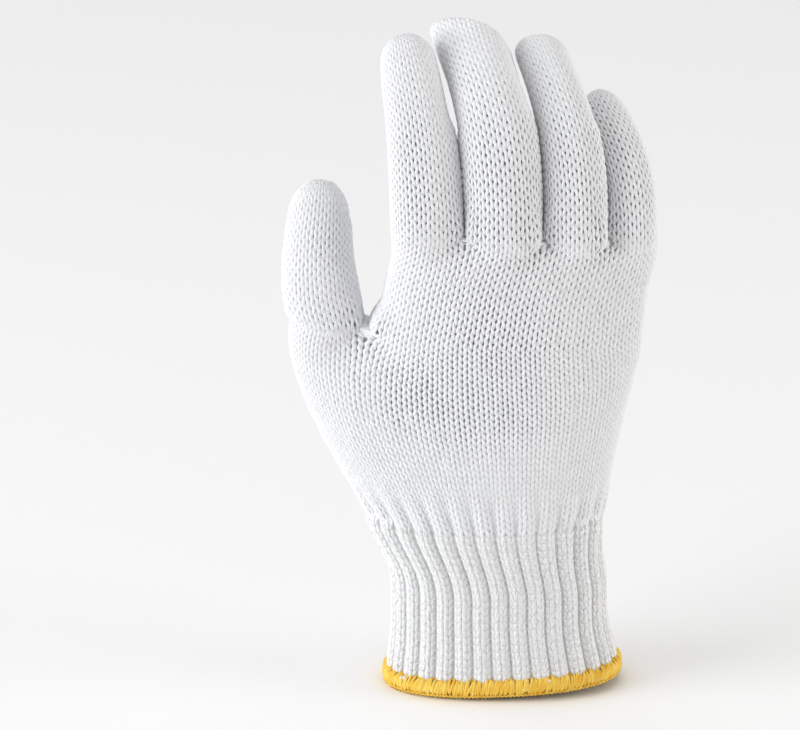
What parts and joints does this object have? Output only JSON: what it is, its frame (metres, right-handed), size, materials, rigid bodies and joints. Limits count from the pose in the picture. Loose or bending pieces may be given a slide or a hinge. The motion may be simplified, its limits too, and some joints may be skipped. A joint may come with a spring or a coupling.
{
  "type": "knitted cotton work glove",
  "caption": "White knitted cotton string work glove for the right hand, in its worn shape, with a ribbed cuff and a golden-yellow overlocked hem.",
  "frame": {"origin": "the middle of the wrist opening, where the wrist goes in", "axes": "+Z from the wrist to the fingertips, +X from the thumb to the little finger, -Y out of the back of the hand"},
  "size_m": [0.1313, 0.0702, 0.2354],
  "materials": {
    "cotton_knit": "bleached white cotton yarn, plain knitted",
    "rib_knit": "bleached white cotton yarn, rib knitted",
    "hem_yarn": "golden-yellow overlock thread"
  },
  "bodies": {
    "root": {"hem_overlock": "hem_yarn", "rib_cuff": "rib_knit", "lower_palm": "cotton_knit", "upper_palm": "cotton_knit", "index_finger": "cotton_knit", "middle_finger": "cotton_knit", "ring_finger": "cotton_knit", "little_finger": "cotton_knit", "thumb": "cotton_knit"}
  },
  "joints": []
}
